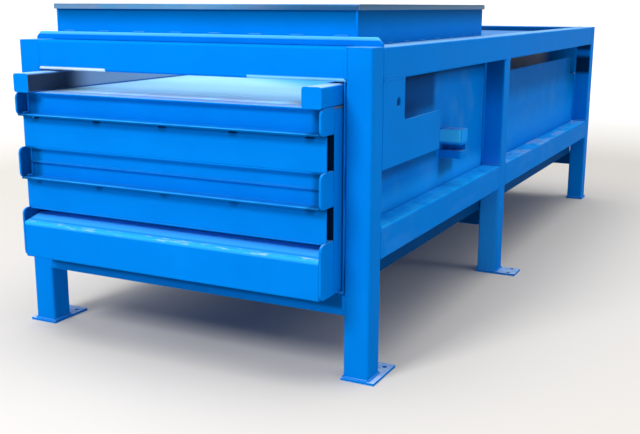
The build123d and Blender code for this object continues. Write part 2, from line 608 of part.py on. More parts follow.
def cylinder():
    """Double-acting cylinder: barrel, gland, rod with its piston, and the pinned clevises."""
    bore = CYLINDER_BORE / 2
    barrel_radius = BARREL_DIAMETER / 2
    rod = ROD_DIAMETER / 2
    bottom = BARREL_REAR - BARREL_END_THICKNESS
    barrel = turned([
        (0, BARREL_REAR),
        (barrel_radius, BARREL_REAR),
        (barrel_radius, BARREL_FRONT),
        (bore, BARREL_FRONT),
        (bore, bottom),
        (0, bottom),
    ])
    for port_y in (BARREL_FRONT + PORT_END_DISTANCE, bottom - PORT_END_DISTANCE):
        port_place = Pos(0, port_y, CYLINDER_AXIS_HEIGHT + bore + BARREL_WALL / 2)
        barrel += extrude(port_place * Circle(PORT_DIAMETER / 2), BARREL_WALL / 2 + PORT_HEIGHT)
    gland_bore = rod + RUNNING_CLEARANCE
    spigot = bore - PIN_CLEARANCE
    gland = turned([
        (gland_bore, GLAND_FRONT),
        (barrel_radius, GLAND_FRONT),
        (barrel_radius, BARREL_FRONT),
        (spigot, BARREL_FRONT),
        (spigot, GLAND_REAR),
        (gland_bore, GLAND_REAR),
    ])
    piston_radius = bore - RUNNING_CLEARANCE
    piston_rear = PISTON_FRONT + PISTON_LENGTH
    rod_front = ROD_PIN_Y + EYE_DIAMETER / 2
    rod_piece = turned([
        (0, rod_front),
        (rod, rod_front),
        (rod, PISTON_FRONT),
        (piston_radius, PISTON_FRONT),
        (piston_radius, piston_rear),
        (0, piston_rear),
    ])
    return {
        "cylinder_barrel": barrel + pin_eye(REAR_PIN_Y, BARREL_REAR),
        "cylinder_gland": gland,
        "piston_rod": rod_piece + pin_eye(ROD_PIN_Y, rod_front),
        "rear_clevis": clevis(REAR_PIN_Y, REAR_FRONT),
        "rear_clevis_pin": cross_pin(REAR_PIN_Y),
        "ram_clevis": clevis(ROD_PIN_Y, RAM_INSIDE),
        "ram_clevis_pin": cross_pin(ROD_PIN_Y),
    }


def main():
    """Build every sub-assembly and write one file for each node."""
    os.makedirs("parts", exist_ok=True)
    sub_assemblies = (
        feet,
        frame_tubes,
        chamber,
        hopper,
        side_plates,
        tie_brackets,
        ram_box,
        ram_face,
        cylinder,
    )
    for sub_assembly in sub_assemblies:
        for node, piece in sub_assembly().items():
            export_step(piece, "parts/" + node + ".step")


main()
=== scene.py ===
import logging
import math
from abc import ABC, abstractmethod
from dataclasses import dataclass, replace
from enum import Enum
from typing import Any, Iterable, Iterator

import bpy
import numpy as np
from mathutils import Matrix, Vector


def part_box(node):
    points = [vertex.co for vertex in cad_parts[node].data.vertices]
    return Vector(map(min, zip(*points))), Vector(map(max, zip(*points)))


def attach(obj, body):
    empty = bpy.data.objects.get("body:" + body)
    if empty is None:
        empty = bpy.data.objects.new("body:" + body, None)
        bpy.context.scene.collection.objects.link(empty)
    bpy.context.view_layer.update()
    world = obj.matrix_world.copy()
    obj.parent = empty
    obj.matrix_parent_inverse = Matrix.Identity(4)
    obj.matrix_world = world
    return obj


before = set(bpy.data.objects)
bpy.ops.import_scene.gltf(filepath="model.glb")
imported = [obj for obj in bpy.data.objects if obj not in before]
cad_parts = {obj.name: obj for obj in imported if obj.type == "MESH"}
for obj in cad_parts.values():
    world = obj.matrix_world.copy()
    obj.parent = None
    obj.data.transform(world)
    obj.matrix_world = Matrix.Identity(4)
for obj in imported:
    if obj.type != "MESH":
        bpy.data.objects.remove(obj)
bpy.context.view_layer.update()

# Looks of a stationary waste compactor: azure enamel on a welded tube frame, a rubbed steel hopper rim,
# a ram whose top plate is rubbed bare and carries painted light, the weld beads that hold the pieces
# together, and painted light and shade on many pieces.
# Seen from the front, X runs to the right, Y to the rear and Z up. Lengths are metres unless named mm.

LOG = logging.getLogger("compactor")
MM = 0.001

Triple = tuple[float, float, float]
Span = tuple[float, float]
Array = np.ndarray
Tree = bpy.types.NodeTree
Node = bpy.types.Node
Socket = bpy.types.NodeSocket

AXIS_X, AXIS_Y, AXIS_Z = np.eye(3)
SIDES = (("right", 1.0), ("left", -1.0))
ROWS = ("front", "mid", "rear")

# A patch's span that reaches FAR is open there.
FAR = 100.0
ANYWHERE: Span = (-FAR, FAR)

# Cosines between which a face turns from not looking a way to looking that way.
FACING_SPAN: Span = (0.6, 0.95)

# The noise that breaks up a patch: its detail, its roughness, its middle value and how far the
# threshold moves from there between no cover and full cover.
GRAIN_DETAIL = 6.0
GRAIN_ROUGHNESS = 0.6
GRAIN_MIDDLE = 0.5
COVER_REACH = 0.4

# Weep notches of the ram's slats: their places, half the width of a run below one and its length.
WEEP_PLACES = (-0.73, -0.365, 0.0, 0.365, 0.73)
WEEP_HALF_WIDTH = 0.018
WEEP_RUN = 0.016

# Height of a fillet bead's crown over its chord, as a share of its leg.
FILLET_CROWN = 0.3


class Body(Enum):
    """The two bodies of the machine."""

    FRAME = "frame"
    RAM = "ram"


class Slot(Enum):
    """Material slots of the record that new pieces belong to."""

    BLUE = "blue_enamel"
    STEEL = "bare_steel"


class Grain(Enum):
    """Direction that rubbing marks run in: the noise's scale along X, Y and Z."""

    ALONG_X = (0.03, 1.0, 1.0)
    ALONG_Y = (1.0, 0.03, 1.0)
    DRAWN_X = (0.2, 1.0, 1.0)
    DRAWN_Y = (1.0, 0.25, 1.0)
    ALL_ROUND = (1.0, 1.0, 1.0)


class Way(Enum):
    """Ways that a face can look, as directions."""

    UP = (0.0, 0.0, 1.0)
    DOWN = (0.0, 0.0, -1.0)
    FRONT = (0.0, -1.0, 0.0)
    RIGHT = (1.0, 0.0, 0.0)
    LEFT = (-1.0, 0.0, 0.0)


UP, DOWN, FRONT, RIGHT, LEFT = Way


def linear(code: str) -> tuple[float, float, float, float]:
    """Turn an sRGB hex colour into linear red, green, blue and alpha, by the standard sRGB curve.

    Args:
        code: Colour such as "#0078e6".

    Returns:
        Four linear values from 0 to 1.
    """
    srgb = np.array([int(code[i:i + 2], 16) for i in (1, 3, 5)]) / 255.0
    value = np.where(srgb <= 0.04045, srgb / 12.92, ((srgb + 0.055) / 1.055) ** 2.4)
    return (*map(float, value), 1.0)


def add_node(tree: Tree, kind: str, settings: dict[str | int, Any] | None = None,
             links: dict[str | int, Node | Socket] | None = None) -> Node:
    """Add one shader node, set its values and link its inputs.

    Args:
        tree: Node tree that gets the node.
        kind: Blender's type name of the node, without "ShaderNode" before it.
        settings: Values by the input's name or number, or by property name where no input has it.
        links: Socket, or node whose first output is meant, by the input's name or number.

    Returns:
        The new node.
    """
    node = tree.nodes.new(f"ShaderNode{kind}")
    for name, value in (settings or {}).items():
        if isinstance(name, int) or name in node.inputs:
            node.inputs[name].default_value = value
        else:
            setattr(node, name, value)
    for name, end in (links or {}).items():
        tree.links.new(end.outputs[0] if isinstance(end, Node) else end, node.inputs[name])
    return node


@dataclass(frozen=True)
class Finish(ABC):
    """One surface finish, built once as a Blender material."""

    name: str

    def material(self) -> bpy.types.Material:
        """Give the finish's material, built the first time it is asked for.

        Returns:
            The material.
        """
        known = bpy.data.materials.get(self.name)
        if known is not None:
            return known
        made = bpy.data.materials.new(self.name)
        made.use_nodes = True
        made.node_tree.nodes.clear()
        add_node(made.node_tree, "OutputMaterial", links={"Surface": self.shade(made.node_tree)})
        return made

    @abstractmethod
    def shade(self, tree: Tree) -> Node:
        """Build the nodes and give the node whose output is the surface."""


@dataclass(frozen=True)
class Patch:
    """A place on a piece where the surface differs: rubbed, stained, greasy, dusty, painted light or painted
    shade.

    The patch fills a box in the machine's own coordinates, turned about the upright axis, with soft
    edges. It can be kept to faces that look one way, and a noise can break it up. At least one of
    these bounds it.
    """

    colour: str
    share: float
    x: Span = ANYWHERE
    y: Span = ANYWHERE
    z: Span = ANYWHERE
    soft_mm: float = 20.0
    turn_deg: float = 0.0
    facing: Way | None = None
    grain_mm: float = 0.0
    grain: Grain = Grain.ALL_ROUND
    cover: float = 0.5
    blur: float = 0.08
    metal: float = 0.0

    def pair(self) -> tuple["Patch", "Patch"]:
        """Give the patch together with its mirror image on the machine's other side.

        Returns:
            The two patches.
        """
        low, high = self.x
        facing = {RIGHT: LEFT, LEFT: RIGHT}.get(self.facing, self.facing)
        return self, replace(self, x=(-high, -low), facing=facing, turn_deg=-self.turn_deg)

    def factor(self, tree: Tree, place: Socket, normal: Socket) -> Node:
        """Work out how much of the patch shows at a point: the product of its bounds and its share.

        Args:
            tree: Node tree of the material.
            place: Socket of the point's place.
            normal: Socket of the surface's normal.

        Returns:
            Node of a value from 0 to the patch's share.
        """
        turn = (0.0, 0.0, math.radians(self.turn_deg))
        turned = add_node(tree, "Mapping", {"Rotation": turn}, {"Vector": place})
        ways = add_node(tree, "SeparateXYZ", links={"Vector": turned}).outputs
        soft = self.soft_mm * MM / 2

        # Each bound is a value, where it starts to let the patch show, where it does in full, and how.
        bounds = []
        for way, (low, high) in zip(ways, (self.x, self.y, self.z)):
            bounds += [(way, low - soft, low + soft, "SMOOTHSTEP")] if low > -FAR else []
            bounds += [(way, high + soft, high - soft, "SMOOTHSTEP")] if high < FAR else []
        if self.facing is not None:
            along = add_node(tree, "VectorMath", {"operation": "DOT_PRODUCT", 1: self.facing.value},
                             {0: normal})
            bounds.append((along.outputs["Value"], *FACING_SPAN, "LINEAR"))
        if self.grain_mm > 0:
            drawn = add_node(tree, "Mapping", {"Scale": self.grain.value}, {"Vector": turned})
            noise = add_node(tree, "TexNoise", {"Scale": 1 / (self.grain_mm * MM), "Detail": GRAIN_DETAIL,
                                                "Roughness": GRAIN_ROUGHNESS}, {"Vector": drawn})
            edge = GRAIN_MIDDLE + COVER_REACH * (GRAIN_MIDDLE - self.cover)
            bounds.append((noise, edge - self.blur, edge + self.blur, "LINEAR"))

        # The first bound carries the share, and the others cut it down.
        shown = None
        for value, first, last, kind in bounds:
            most = self.share if shown is None else 1.0
            mask = add_node(tree, "MapRange", {"From Min": first, "From Max": last, "To Max": most,
                                               "interpolation_type": kind}, {"Value": value})
            shown = mask if shown is None else add_node(tree, "Math", {"operation": "MULTIPLY"},
                                                        {0: shown, 1: mask})
        return shown


@dataclass(frozen=True)
class Enamel(Finish):
    """Sprayed alkyd enamel on welded steel, gone chalky: full even colour and a faint orange peel.

    The sprayed coat varies a little in depth over a hand's breadth, and a dusty film lies on faces that
    look up, which on some finishes is painted light instead. Chalky paint hardly mirrors, so its specular
    level is far below a new coat's. Patches on top of it are rubbed, stained, greasy or bare, and some
    are painted light or painted shade.
    """

    paint: str = "#007bdc"
    deep: str = "#006fca"
    dust: str = "#79b3d6"
    dust_share: float = 0.55
    dust_and_top_light_patch_mm: float = 90.0
    dust_and_top_light_cover: float = 0.6
    dust_and_top_light_blur: float = 0.35
    mottle_mm: float = 260.0
    mottle_detail: float = 4.0
    peel_mm: float = 6.0
    peel_detail: float = 2.0
    peel_strength: float = 0.06
    peel_depth_mm: float = 0.4
    roughness: float = 0.42
    gloss_spread: Span = (-0.06, 0.12)
    specular: float = 0.003
    patches: tuple[Patch, ...] = ()

    def shade(self, tree: Tree) -> Node:
        """Build the enamel from mottle, a film on faces that look up (dusty, or painted light on some
        finishes), and patches.

        Args:
            tree: Node tree of the material.

        Returns:
            The Principled shader node.
        """
        place = add_node(tree, "TexCoord").outputs["Object"]
        normal = add_node(tree, "NewGeometry").outputs["Normal"]

        # The coat's depth wanders over a hand's breadth, and its gloss with it.
        mottle = add_node(tree, "TexNoise", {"Scale": 1 / (self.mottle_mm * MM),
                                             "Detail": self.mottle_detail}, {"Vector": place})
        coat = add_node(tree, "MixRGB", {"Color1": linear(self.deep), "Color2": linear(self.paint)},
                        {"Fac": mottle})
        low, high = (self.roughness + spread for spread in self.gloss_spread)
        gloss = add_node(tree, "MapRange", {"To Min": low, "To Max": high}, {"Value": mottle})

        # Dust lies on faces that look up, and on some finishes this layer is painted light instead. Then the
        # patches follow in their order, some of them painted light or shade. Each layer covers what is below
        # it, and some lay the metal bare.
        dust = Patch(self.dust, self.dust_share, facing=UP, grain_mm=self.dust_and_top_light_patch_mm,
                     cover=self.dust_and_top_light_cover, blur=self.dust_and_top_light_blur)
        layers = (dust, *self.patches) if self.dust_share > 0 else self.patches
        bared = any(layer.metal > 0 for layer in layers)
        links: dict[str | int, Node] = {}
        for layer in layers:
            shown = layer.factor(tree, place, normal)
            coat = add_node(tree, "MixRGB", {"Color2": linear(layer.colour)}, {"Fac": shown, "Color1": coat})
            if bared:
                below = {2: links["Metallic"]} if "Metallic" in links else {}
                links["Metallic"] = add_node(tree, "Mix", {2: 0.0, 3: layer.metal}, {0: shown, **below})

        # Orange peel of a sprayed coat, drawn a little coarse so that it shows.
        peel = add_node(tree, "TexNoise", {"Scale": 1 / (self.peel_mm * MM), "Detail": self.peel_detail},
                        {"Vector": place})
        bump = add_node(tree, "Bump", {"Strength": self.peel_strength, "Distance": self.peel_depth_mm * MM},
                        {"Height": peel})
        links |= {"Base Color": coat, "Roughness": gloss, "Normal": bump}
        return add_node(tree, "BsdfPrincipled", {"Specular IOR Level": self.specular}, links)


@dataclass(frozen=True)
class RubbedSteel(Finish):
    """Mild steel whose paint is rubbed off: a grey metal with fine rubbing marks and thin warm oxide."""

    bright: str = "#c9ced6"
    oxide: str = "#a9949a"
    oxide_patch_mm: float = 120.0
    oxide_span: Span = (0.4, 0.7)
    oxide_share: float = 0.5
    grain: Grain = Grain.ALL_ROUND
    mark_mm: float = 5.0
    mark_strength: float = 0.08
    mark_depth_mm: float = 0.2
    detail: float = 5.0
    roughness: float = 0.42
    gloss_spread: Span = (-0.12, 0.15)
    patches: tuple[Patch, ...] = ()

    def shade(self, tree: Tree) -> Node:
        """Build the metal from oxide, rubbing marks and patches.

        Args:
            tree: Node tree of the material.

        Returns:
            The Principled shader node.
        """
        place = add_node(tree, "TexCoord").outputs["Object"]
        normal = add_node(tree, "NewGeometry").outputs["Normal"]

        # Oxide lies in soft clouds.
        clouds = add_node(tree, "TexNoise", {"Scale": 1 / (self.oxide_patch_mm * MM), "Detail": self.detail},
                          {"Vector": place})
        first, last = self.oxide_span
        oxide = add_node(tree, "MapRange", {"From Min": first, "From Max": last, "To Max": self.oxide_share},
                         {"Value": clouds})
        colour = add_node(tree, "MixRGB", {"Color1": linear(self.bright), "Color2": linear(self.oxide)},
                          {"Fac": oxide})
        for patch in self.patches:
            colour = add_node(tree, "MixRGB", {"Color2": linear(patch.colour)},
                              {"Fac": patch.factor(tree, place, normal), "Color1": colour})

        # Rubbing marks run along the grain, drawn coarser than real ones so that they show. They change the
        # gloss and stand a little proud.
        drawn = add_node(tree, "Mapping", {"Scale": self.grain.value}, {"Vector": place})
        marks = add_node(tree, "TexNoise", {"Scale": 1 / (self.mark_mm * MM), "Detail": self.detail},
                         {"Vector": drawn})
        low, high = (self.roughness + spread for spread in self.gloss_spread)
        gloss = add_node(tree, "MapRange", {"To Min": low, "To Max": high}, {"Value": marks})
        bump = add_node(tree, "Bump", {"Strength": self.mark_strength, "Distance": self.mark_depth_mm * MM},
                        {"Height": marks})
        return add_node(tree, "BsdfPrincipled", {"Metallic": 1.0},
                        {"Base Color": colour, "Roughness": gloss, "Normal": bump})


@dataclass(frozen=True)
class FloorFinish(Finish):
    """Pale plain studio floor, matt, and paler towards the backdrop so that no edge shows."""

    near: str = "#c1beb9"
    far: str = "#f6f6f6"
    near_m: float = 4.5
    far_m: float = 11.0
    roughness: float = 0.9

    def shade(self, tree: Tree) -> Node:
        """Build a matt shader whose tone follows the distance from the machine.

        Args:
            tree: Node tree of the material.

        Returns:
            The Principled shader node.
        """
        place = add_node(tree, "TexCoord").outputs["Object"]
        away = add_node(tree, "VectorMath", {"operation": "LENGTH"}, {0: place}).outputs["Value"]
        share = add_node(tree, "MapRange", {"From Min": self.near_m, "From Max": self.far_m}, {"Value": away})
        tone = add_node(tree, "MixRGB", {"Color1": linear(self.near), "Color2": linear(self.far)},
                        {"Fac": share})
        return add_node(tree, "BsdfPrincipled", {"Roughness": self.roughness, "Specular IOR Level": 0.0},
                        {"Base Color": tone})


def azure(wear: str, *patches: Patch, **changes: Any) -> Enamel:
    """Give azure enamel with wear, painted light and painted shade of its own, named for it."""
    return Enamel(f"azure_enamel_{wear}", patches=patches, **changes)


def slat_finish(place: str, top: float) -> Enamel:
    """Give the enamel of one slat: painted shade under the channel above, with runs below its weep notches.

    Args:
        place: Which slat it is, for the finish's name.
        top: Height from which the slat lies in the channel's shade.

    Returns:
        The finish.
    """
    runs = (Patch("#00203c", 0.4, x=(x - WEEP_HALF_WIDTH, x + WEEP_HALF_WIDTH), z=(top - WEEP_RUN, FAR),
                  soft_mm=22.0, facing=FRONT) for x in WEEP_PLACES)
    # The first patch is painted shade under the channel above; the runs are stains.
    return azure(f"{place}_slat", Patch("#002a4c", 0.85, z=(top, FAR), soft_mm=26.0), *runs)


def wall_finish(side: str, sign: float) -> Enamel:
    """Give the enamel of one chamber wall: a dusty film and painted shade outside, rubbed by waste inside.

    Inside, waste and the ram have drawn pale streaks along it. Outside lies a thin dusty film, with
    patches of painted shade and lighter tone that each have a colour, a share, a span along Y, a span in
    height and a soft edge in mm.

    Args:
        side: Side of the machine, for the finish's name.
        sign: Plus one on the right, minus one on the left.

    Returns:
        The finish.
    """
    outward, inward = (RIGHT, LEFT) if sign > 0 else (LEFT, RIGHT)
    shade_and_tone_patches = (
        ("#0d8cf0", 0.50, (-0.15, FAR), (-FAR, 0.86), 180.0),  # lighter lower part of the rear bay
        ("#002a66", 0.75, (-1.87, -1.14), (1.09, FAR), 80.0),  # painted shade behind the side plate's window
        ("#00335c", 0.55, ANYWHERE, (1.225, FAR), 110.0),  # painted shade under the top rail
        ("#00182e", 0.85, ANYWHERE, (1.262, FAR), 40.0),  # painted shade as a dark line along the top rail
        ("#003468", 0.45, (-0.15, FAR), (1.03, FAR), 140.0),  # painted shade in the rear bay
        ("#00335c", 0.35, (1.95, FAR), (0.95, FAR), 240.0),  # painted shade below the hose notch
        ("#002f6a", 0.60, (-FAR, -1.08), (0.825, 0.93), 60.0),  # painted shade under the side plate's arm
        ("#1aa8ff", 0.55, (-FAR, -0.2), (0.55, 0.75), 90.0),  # lighter strip in the front bay
        ("#001c40", 0.75, ANYWHERE, (-FAR, 0.50), 50.0),  # painted shade along the bottom rail
        ("#00304f", 0.55, (-1.05, -0.82), (0.72, 0.84), 60.0),  # painted shade under the tie fork
    )
    return azure(
        f"dusty_shaded_wall_{side}",
        Patch("#9fb2c2", 0.5, facing=inward, grain_mm=60.0, grain=Grain.DRAWN_Y, blur=0.15),
        Patch("#5d9cc4", 0.10, facing=outward, grain_mm=160.0, cover=0.35),
        *(Patch(colour, share, y=y, z=z, soft_mm=soft, facing=outward)
          for colour, share, y, z, soft in shade_and_tone_patches),
    )


# Plain coat, for pieces with no wear of their own: an even, soft blue.
AZURE = Enamel("azure_enamel")
# Dust lies as a greyer film all along the top rails.
AZURE_TOP_RAIL = azure("dusty_rail", Patch("#86b4d2", 0.6, facing=UP))
# The sill's upper edge carries a painted highlight: a pale line along it.
AZURE_SILL = azure("highlit_sill", Patch("#5cc4ff", 0.75, z=(1.461, FAR), soft_mm=8.0))
# The mid legs' front faces carry painted shade below the hopper and painted light towards the foot.
AZURE_MID_POST = azure(
    "shaded_lit_post",
    Patch("#00183c", 0.6, z=(1.12, FAR), soft_mm=300.0, facing=FRONT),
    Patch("#2a9cf8", 0.6, z=(-FAR, 0.7), soft_mm=200.0, facing=FRONT),
)
# The rear legs' front faces have two dark bands with a clean one between: painted shade just under the top
# rail, and a black band below it.
AZURE_REAR_POST = azure(
    "dark_banded_post",
    Patch("#02101f", 0.9, z=(1.06, 1.20), soft_mm=40.0, facing=FRONT),
    Patch("#02101f", 0.85, z=(1.25, FAR), soft_mm=30.0, facing=FRONT),
)
# The lintel's lower edge carries a painted highlight at both ends, above the ram's guides.
AZURE_LINTEL = azure(
    "highlit_lintel",
    Patch("#d6e8f2", 0.9, x=(-0.83, -0.42), y=(-FAR, -2.1), z=(-FAR, 1.309), soft_mm=6.0),
    Patch("#7cc8f2", 0.9, x=(0.35, 0.83), y=(-FAR, -2.1), z=(-FAR, 1.309), soft_mm=6.0),
    dust_share=0.0,
)
# Painted shade leaves a dark line along the front beam's upper edge, under the skirt.
AZURE_FRONT_BEAM = azure("shaded_beam", Patch("#003060", 0.7, z=(0.326, FAR), soft_mm=24.0, facing=FRONT))
# Painted shade under the deck leaves the cross beams' front faces almost black.
AZURE_UNDER_BEAM = azure("shaded_under_beam", Patch("#00142c", 0.8, facing=FRONT))
# The rear beam's inner face is dark with painted shade, with brown grime to the left.
AZURE_REAR_BEAM = azure(
    "shaded_grimy_beam",
    Patch("#00305c", 0.8, facing=FRONT),
    Patch("#5a5460", 0.5, x=(-FAR, -0.1), soft_mm=500.0, facing=FRONT),
)
# The bottom rails' tops are painted bright, as painted light where the top rails shade them, with pale marks
# drawn along them in the rear bay.
AZURE_RAIL = azure(
    "lit_marked_rail",
    Patch("#c6bcc8", 0.3, y=(-0.15, FAR), facing=UP, grain_mm=70.0, grain=Grain.DRAWN_Y, cover=0.35),
    Patch("#8fc0e6", 0.03, grain_mm=70.0, grain=Grain.DRAWN_Y, cover=0.35),
    dust="#22b8ff", dust_share=0.95,
)
# Pale cement dust lies in patches on the feet.
AZURE_FOOT = azure("dusty_foot", Patch("#c3d2de", 0.75, facing=UP, grain_mm=40.0, cover=0.6, blur=0.3))
# The tie forks are lighter in their upper half, most at the front.
AZURE_FORK = azure(
    "light_topped_fork",
    Patch("#3cc8ff", 0.85, z=(0.905, FAR), facing=FRONT),
    *Patch("#1c98f0", 0.6, z=(0.905, FAR), facing=RIGHT).pair(),
)
# Painted shade under the rim darkens the upper part of the hopper's walls.
AZURE_HOPPER = azure("shaded_hopper", Patch("#00406a", 0.8, z=(1.535, FAR), soft_mm=110.0))
# The deck cover's front face shows pale primer, its top is dusty and its underside a dull brown.
AZURE_COVER = azure(
    "primed_cover",
    Patch("#d2dcea", 0.95, x=(-0.56, 0.56), soft_mm=120.0, facing=FRONT),
    Patch("#7a6a66", 0.9, facing=DOWN),
    dust="#7c98ae", dust_share=0.7,
)
# The ram's channels: painted shade in the trough behind a painted highlight on the lower flange's lip, the
# upper flange rubbed to metal, and painted shade on the lips and at the ends.
AZURE_CHANNEL = azure(
    "rubbed_shaded_channel",
    Patch("#0068bc", 0.85, y=(-2.380, FAR), z=(-FAR, 1.15), soft_mm=10.0, facing=UP),
    Patch("#b3d3f2", 0.9, z=(1.195, FAR), soft_mm=2.0, facing=UP, metal=1.0),
    Patch("#00447a", 0.75, y=(-FAR, -2.392), soft_mm=4.0, facing=FRONT),
    *Patch("#003468", 0.6, x=(0.735, FAR), soft_mm=36.0).pair(),
    dust="#3fb4fa", dust_share=0.8,
)
# The slats carry painted shade under the channels, with darker runs below their weep notches.
AZURE_UPPER_SLAT = slat_finish("upper", 1.078)
AZURE_LOWER_SLAT = slat_finish("lower", 0.777)
# The skirt's sloped ledge is painted lighter where the slats shade it, with a painted highlight along its
# front edge, where the paint is also worn through in dashes.
AZURE_SKIRT = azure(
    "lit_worn_ledge",
    Patch("#3fb0ff", 0.8, y=(-2.366, FAR), z=(0.58, FAR), soft_mm=24.0),
    Patch("#2ba6f6", 0.85, y=(-FAR, -2.374), z=(0.566, FAR), soft_mm=14.0),
    Patch("#d9dce6", 0.5, y=(-FAR, -2.378), z=(0.572, FAR), soft_mm=8.0, grain_mm=14.0,
          grain=Grain.DRAWN_X, cover=0.2),
    dust_share=0.0,
)
# The end lugs' inner faces carry painted shade.
AZURE_LUG = azure("shaded_lug", *Patch("#003a66", 0.7, x=(-FAR, 0.0), facing=RIGHT).pair())
# The guide tubes: pale rubbing marks on top, grey inner faces, and painted shade on the inner faces at the
# front end.
AZURE_GUIDE = azure(
    "rubbed_shaded_guide",
    Patch("#a9cfe8", 0.75, facing=UP, grain_mm=14.0, grain=Grain.ALONG_Y, cover=0.7),
    *Patch("#9fb2c2", 0.8, x=(0.0, FAR), facing=LEFT).pair(),
    *Patch("#021a36", 0.9, x=(0.0, FAR), y=(-FAR, -2.05), soft_mm=200.0, facing=LEFT).pair(),
    dust_share=0.0,
)
# The ram's front plate carries painted shade behind the channels, and black painted shade beside them.
AZURE_FRONT_PLATE = azure(
    "shaded_plate",
    Patch("#003a66", 0.6, facing=FRONT),
    *Patch("#02101f", 0.9, x=(0.74, FAR), facing=FRONT).pair(),
)
# Waste has rubbed the ram's top: bare steel along the front edge, and a pale patch towards the front left
# that is partly rubbed steel and partly painted light falling in through the hopper, a wedge of blue left
# at the rear right, and painted shade beside the guides.
RAM_TOP = Enamel("rubbed_lit_ram_top_plate", paint="#3aa4ea", deep="#3098e0", dust_share=0.2, patches=(
    Patch("#a4e0ff", 1.0, y=(-FAR, -1.038), soft_mm=340.0, turn_deg=37.0, metal=0.3),
    Patch("#d9bfc9", 0.4, y=(-FAR, -2.15), grain_mm=60.0, grain=Grain.ALONG_Y, cover=0.55, soft_mm=200.0,
          metal=1.0),
    *Patch("#021a36", 0.8, x=(0.60, FAR), y=(-FAR, -2.05), soft_mm=200.0).pair(),
))
# The chamber's floor is scoured along the ram's way, so that dull metal shows in streaks.
CHAMBER_FLOOR = Enamel("rubbed_chamber_floor", dust_share=0.3, patches=(
    Patch("#a9b4bf", 0.75, facing=UP, grain_mm=50.0, grain=Grain.DRAWN_Y, cover=0.65, blur=0.15, metal=0.4),
))
# The rim is bare steel with a bluish sheen, with painted shade to the right in front and on its outer sides.
RIM_STEEL = RubbedSteel("rubbed_shaded_rim_steel", bright="#5a96c6", oxide="#8c90aa", grain=Grain.ALONG_X, patches=(
    Patch("#20527f", 0.9, x=(0.3, FAR), y=(-FAR, -1.6), soft_mm=700.0, facing=FRONT),
    *Patch("#285a80", 0.9, x=(0.8, FAR), facing=RIGHT).pair(),
))
# Wear strips and hold-down bars are scraped bright along the ram's way.
GUIDE_STEEL = RubbedSteel("rubbed_guide_steel", grain=Grain.ALONG_Y)
# Turned pins and plugs shine a little more.
PIN_STEEL = RubbedSteel("turned_pin_steel", roughness=0.32)
# Hard chrome, ground and polished: a bright, almost clean mirror.
CHROME_ROD = RubbedSteel("chromed_rod", bright="#e4e6ea", oxide="#d5d8dd", oxide_share=0.2, roughness=0.14)
# The cylinder's own dark enamel: near black, glossier than the blue and dusty on top.
DARK_ENAMEL = Enamel("dark_cylinder_enamel", paint="#3a3d40", deep="#2c2e31", dust="#7d7a74",
                     roughness=0.38, specular=0.4)


@dataclass(frozen=True)
class NodeBox:
    """A node's box at rest: from x0 to x1, from y0 (front) to y1 and from z0 (below) to z1."""

    x0: float
    y0: float
    z0: float
    x1: float
    y1: float
    z1: float

    @classmethod
    def of(cls, node: str) -> "NodeBox":
        """Read the box of a node from the frame."""
        low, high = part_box(node)
        return cls(*low, *high)

    def outer(self, sign: float) -> float:
        """Give the X of the face away from the machine's middle, on the side with this sign."""
        return self.x1 if sign > 0 else self.x0

    def inner(self, sign: float) -> float:
        """Give the X of the face towards the machine's middle, on the side with this sign."""
        return self.x0 if sign > 0 else self.x1


def at(x: float, y: float, z: float) -> Array:
    """Give a point as an array."""
    return np.array([x, y, z])


def both(stem: str) -> list[str]:
    """Give the names of a pair of nodes, one on each side."""
    return [f"{stem}_{side}" for side, _ in SIDES]


@dataclass(frozen=True)
class ButtSize:
    """Size of a bead over a flush seam, and how far it stays clear of the seam's ends."""

    half_width_mm: float
    crown_mm: float
    root_mm: float
    clear_mm: float = 0.0


@dataclass(frozen=True)
class Bead:
    """One run of weld along a straight seam.

    The bead's section is a lens: half an ellipse of height crown above the seam's face and half an
    ellipse of depth root below it, both as wide as the bead.
    """

    start: Array
    end: Array
    across: Array
    out: Array
    half_width: float
    crown: float
    root: float

    @classmethod
    def fillet(cls, start: Array, end: Array, first: Array, second: Array, leg_mm: float) -> "Bead":
        """Lay a bead into the corner between two square faces.

        Args:
            start: First end of the corner line.
            end: Last end of the corner line.
            first: Outward direction of one face.
            second: Outward direction of the other face.
            leg_mm: Length of the bead along each face.

        Returns:
            The bead, with its chord across the corner.
        """
        leg = leg_mm * MM
        half = leg / math.sqrt(2)
        across, out = (first - second) / math.sqrt(2), (first + second) / math.sqrt(2)
        return cls(start + out * half, end + out * half, across, out, half, FILLET_CROWN * leg, half)

    @classmethod
    def butt(cls, start: Array, end: Array, out: Array, size: ButtSize) -> "Bead":
        """Lay a bead over the seam between two flush faces.

        Args:
            start: First end of the seam.
            end: Last end of the seam.
            out: Outward direction of both faces.
            size: Size of the bead.

        Returns:
            The bead.
        """
        along = (end - start) / np.linalg.norm(end - start)
        clear = along * size.clear_mm * MM
        return cls(start + clear, end - clear, np.cross(out, along), out, size.half_width_mm * MM,
                   size.crown_mm * MM, size.root_mm * MM)

    def stitches(self, length_mm: float, pitch_mm: float) -> list["Bead"]:
        """Split the seam into short runs, centred on it.

        Args:
            length_mm: Length of each run.
            pitch_mm: Distance from one run's start to the next one's.

        Returns:
            The runs.
        """
        length, pitch = length_mm * MM, pitch_mm * MM
        whole = float(np.linalg.norm(self.end - self.start))
        along = (self.end - self.start) / whole
        count = max(1, int((whole - length) // pitch) + 1)
        first = (whole - (count - 1) * pitch - length) / 2
        starts = [self.start + along * (first + index * pitch) for index in range(count)]
        return [replace(self, start=start, end=start + along * length) for start in starts]


